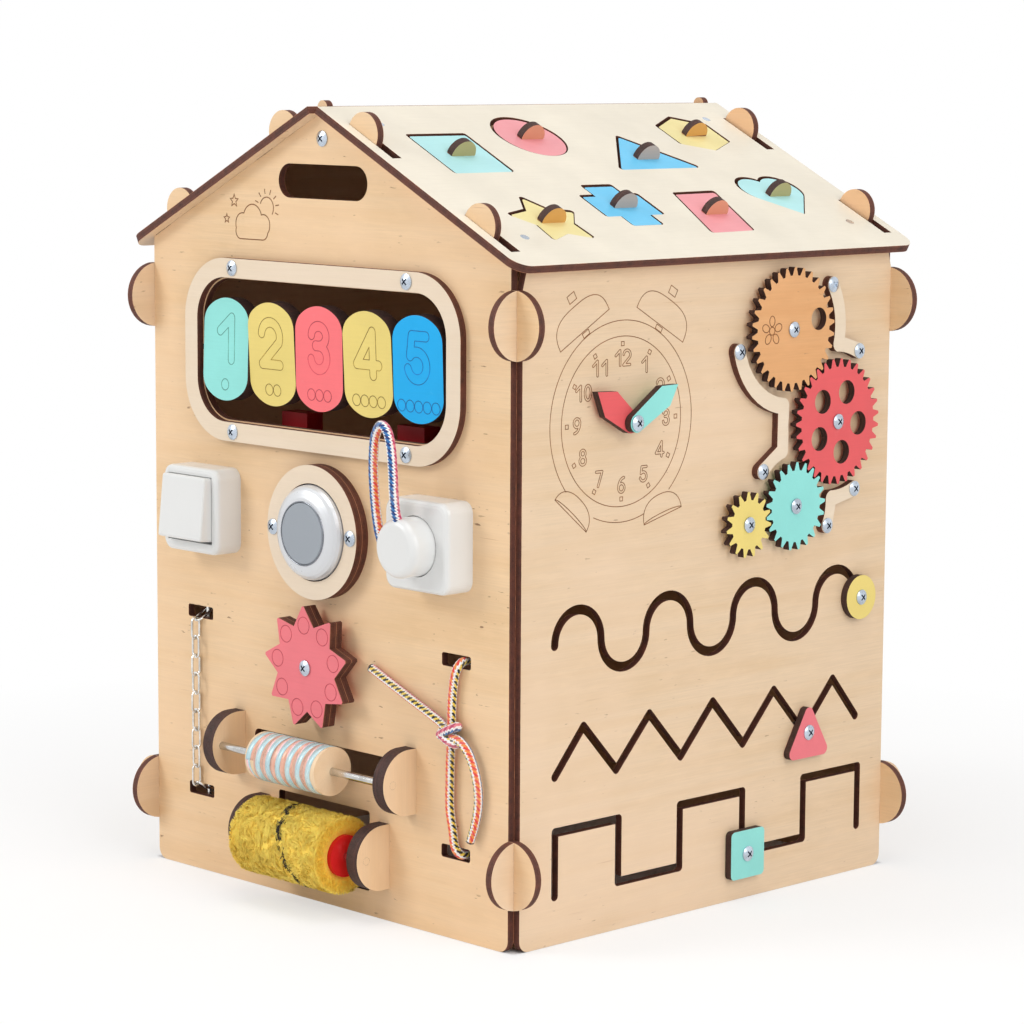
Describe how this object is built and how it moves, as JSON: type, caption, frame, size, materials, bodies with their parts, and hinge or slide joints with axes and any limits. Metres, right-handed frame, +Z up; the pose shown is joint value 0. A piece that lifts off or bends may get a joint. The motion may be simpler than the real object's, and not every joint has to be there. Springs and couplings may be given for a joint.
{
  "type": "busy house",
  "caption": "Plywood busy house with number cards, switch, push light, plug, dial, rollers, clock, gears, sliding shapes and a shape puzzle in the roof.",
  "frame": {"origin": "on the floor, under the middle of the whole house's bounding box", "axes": "+Z up, the gable with the number cards faces -Y, the wall with the clock and gears faces +X"},
  "size_m": [0.465, 0.4968, 0.6155],
  "materials": {
    "birch": "fine sanded birch plywood, clear matt oil",
    "birch_turned": "turned birch, clear matt oil",
    "cream_paint": "plywood with cream satin paint",
    "teal_paint": "plywood with teal satin paint",
    "yellow_paint": "plywood with yellow satin paint",
    "pink_paint": "plywood with pink satin paint",
    "blue_paint": "plywood with blue satin paint",
    "red_paint": "wood with dark red paint",
    "wall_plate_plastic": "glossy white",
    "lamp_plastic": "glossy silvery white",
    "lens_plastic": "smoky grey, satin",
    "board_plastic": "green circuit board, satin",
    "steel": "bright zinc plated",
    "rope_fibre": "white polyester rope with coloured flecks",
    "ribbon_foil": "shiny pale ribbon",
    "fur": "long yellow pile with dark stripes"
  },
  "bodies": {
    "house": {"front_wall": "birch", "rear_wall": "birch", "left_wall": "birch", "right_wall": "birch", "right_roof_panel": "cream_paint", "left_roof_panel": "cream_paint", "puzzle_tray": "birch", "window_frame": "birch", "card_rod": "steel", "card_stops": "red_paint", "switch_plate": "wall_plate_plastic", "light_ring": "birch", "light_case": "lamp_plastic", "light_electronics": "board_plastic", "socket_plate": "wall_plate_plastic", "star_spacer": "birch", "roller_brackets": "birch", "lower_axle": "steel", "chain": "steel", "rope_loop": "rope_fibre", "rope_knot": "rope_fibre", "rope_tails": "rope_fibre", "gear_guards": "birch", "pivot_bolts": "steel", "panel_screws": "steel"},
    "card_1": {"card_1": "teal_paint"},
    "card_2": {"card_2": "yellow_paint"},
    "card_3": {"card_3": "pink_paint"},
    "card_4": {"card_4": "yellow_paint"},
    "card_5": {"card_5": "blue_paint"},
    "switch_rocker": {"switch_rocker": "wall_plate_plastic"},
    "light_lens": {"light_lens": "lens_plastic"},
    "plug": {"plug": "wall_plate_plastic", "plug_cord": "rope_fibre"},
    "star_dial": {"star_dial": "pink_paint"},
    "upper_axle": {"upper_axle": "steel"},
    "wood_roller": {"wood_roller": "birch_turned", "roller_ribbon": "ribbon_foil"},
    "fur_roller": {"fur_core": "red_paint", "fur_sleeve": "fur"},
    "hour_hand": {"hour_hand": "pink_paint"},
    "minute_hand": {"minute_hand": "teal_paint"},
    "big_gear": {"big_gear": "birch"},
    "pink_gear": {"pink_gear": "pink_paint"},
    "teal_gear": {"teal_gear": "teal_paint"},
    "small_gear": {"small_gear": "yellow_paint"},
    "round_slider": {"round_slider": "yellow_paint", "round_bolt": "steel"},
    "triangle_slider": {"triangle_slider": "pink_paint", "triangle_bolt": "steel"},
    "square_slider": {"square_slider": "teal_paint", "square_bolt": "steel"},
    "square_piece": {"square_piece": "teal_paint"},
    "circle_piece": {"circle_piece": "pink_paint"},
    "triangle_piece": {"triangle_piece": "blue_paint"},
    "hexagon_piece": {"hexagon_piece": "yellow_paint"},
    "star_piece": {"star_piece": "yellow_paint"},
    "cross_piece": {"cross_piece": "blue_paint"},
    "slant_piece": {"slant_piece": "pink_paint"},
    "heart_piece": {"heart_piece": "teal_paint"}
  },
  "joints": [
    {"name": "card_1_flip", "type": "hinge", "parent": "house", "child": "card_1", "pos_m": [-0.1104, -0.192, 0.4215], "axis": [1, 0, 0], "continuous": true},
    {"name": "card_2_flip", "type": "hinge", "parent": "house", "child": "card_2", "pos_m": [-0.0552, -0.192, 0.4215], "axis": [1, 0, 0], "continuous": true},
    {"name": "card_3_flip", "type": "hinge", "parent": "house", "child": "card_3", "pos_m": [0, -0.192, 0.4215], "axis": [1, 0, 0], "continuous": true},
    {"name": "card_4_flip", "type": "hinge", "parent": "house", "child": "card_4", "pos_m": [0.0552, -0.192, 0.4215], "axis": [1, 0, 0], "continuous": true},
    {"name": "card_5_flip", "type": "hinge", "parent": "house", "child": "card_5", "pos_m": [0.1104, -0.192, 0.4215], "axis": [1, 0, 0], "continuous": true},
    {"name": "rocker_tilt", "type": "hinge", "parent": "house", "child": "switch_rocker", "pos_m": [-0.13175, -0.2101, 0.2964], "axis": [1, 0, 0], "range_deg": [0, 12]},
    {"name": "light_press", "type": "slide", "parent": "house", "child": "light_lens", "axis": [0, 1, 0], "range_m": [0, 0.003], "stiffness_N_per_m": 250},
    {"name": "plug_pull", "type": "slide", "parent": "house", "child": "plug", "axis": [0, -1, 0], "range_m": [0, 0.045]},
    {"name": "star_turn", "type": "hinge", "parent": "house", "child": "star_dial", "pos_m": [0, -0.2064, 0.1863], "axis": [0, -1, 0], "continuous": true},
    {"name": "axle_turn", "type": "hinge", "parent": "house", "child": "upper_axle", "pos_m": [0, -0.2174, 0.1126], "axis": [1, 0, 0], "continuous": true},
    {"name": "roller_slide", "type": "slide", "parent": "upper_axle", "child": "wood_roller", "axis": [1, 0, 0], "range_m": [-0.05, 0.0557]},
    {"name": "fur_turn", "type": "hinge", "parent": "house", "child": "fur_roller", "pos_m": [0, -0.2174, 0.05], "axis": [1, 0, 0], "continuous": true},
    {"name": "hour_turn", "type": "hinge", "parent": "house", "child": "hour_hand", "pos_m": [0.2165, -0.0857, 0.3833], "axis": [1, 0, 0], "continuous": true},
    {"name": "minute_turn", "type": "hinge", "parent": "house", "child": "minute_hand", "pos_m": [0.2228, -0.0857, 0.3833], "axis": [1, 0, 0], "continuous": true},
    {"name": "big_gear_turn", "type": "hinge", "parent": "house", "child": "big_gear", "pos_m": [0.2165, 0.0934, 0.4422], "axis": [1, 0, 0], "continuous": true},
    {"name": "pink_gear_turn", "type": "hinge", "parent": "house", "child": "pink_gear", "pos_m": [0.2165, 0.14733, 0.36729], "axis": [1, 0, 0], "continuous": true},
    {"name": "teal_gear_turn", "type": "hinge", "parent": "house", "child": "teal_gear", "pos_m": [0.2165, 0.0993, 0.30482], "axis": [1, 0, 0], "continuous": true},
    {"name": "small_gear_turn", "type": "hinge", "parent": "house", "child": "small_gear", "pos_m": [0.2165, 0.04533, 0.2953], "axis": [1, 0, 0], "continuous": true},
    {"name": "round_swing", "type": "hinge", "parent": "house", "child": "round_slider", "pos_m": [0.2135, 0.1595, 0.224], "axis": [1, 0, 0], "range_deg": [0, 180]},
    {"name": "triangle_climb", "type": "slide", "parent": "house", "child": "triangle_slider", "axis": [0, 0.6839, 0.7296], "range_m": [0, 0.05]},
    {"name": "square_shift", "type": "slide", "parent": "house", "child": "square_slider", "axis": [0, 1, 0], "range_m": [0, 0.07]},
    {"name": "square_lift", "type": "slide", "parent": "house", "child": "square_piece", "axis": [0.4472, 0, 0.8944], "range_m": [0, 0.02]},
    {"name": "circle_lift", "type": "slide", "parent": "house", "child": "circle_piece", "axis": [0.4472, 0, 0.8944], "range_m": [0, 0.02]},
    {"name": "triangle_lift", "type": "slide", "parent": "house", "child": "triangle_piece", "axis": [0.4472, 0, 0.8944], "range_m": [0, 0.02]},
    {"name": "hexagon_lift", "type": "slide", "parent": "house", "child": "hexagon_piece", "axis": [0.4472, 0, 0.8944], "range_m": [0, 0.02]},
    {"name": "star_lift", "type": "slide", "parent": "house", "child": "star_piece", "axis": [0.4472, 0, 0.8944], "range_m": [0, 0.02]},
    {"name": "cross_lift", "type": "slide", "parent": "house", "child": "cross_piece", "axis": [0.4472, 0, 0.8944], "range_m": [0, 0.02]},
    {"name": "slant_lift", "type": "slide", "parent": "house", "child": "slant_piece", "axis": [0.4472, 0, 0.8944], "range_m": [0, 0.02]},
    {"name": "heart_lift", "type": "slide", "parent": "house", "child": "heart_piece", "axis": [0.4472, 0, 0.8944], "range_m": [0, 0.02]}
  ],
  "couplings": [
    {"joint": "pink_gear_turn", "follows": "big_gear_turn", "ratio": -0.96774},
    {"joint": "teal_gear_turn", "follows": "big_gear_turn", "ratio": 1.4286},
    {"joint": "small_gear_turn", "follows": "big_gear_turn", "ratio": -2}
  ]
}
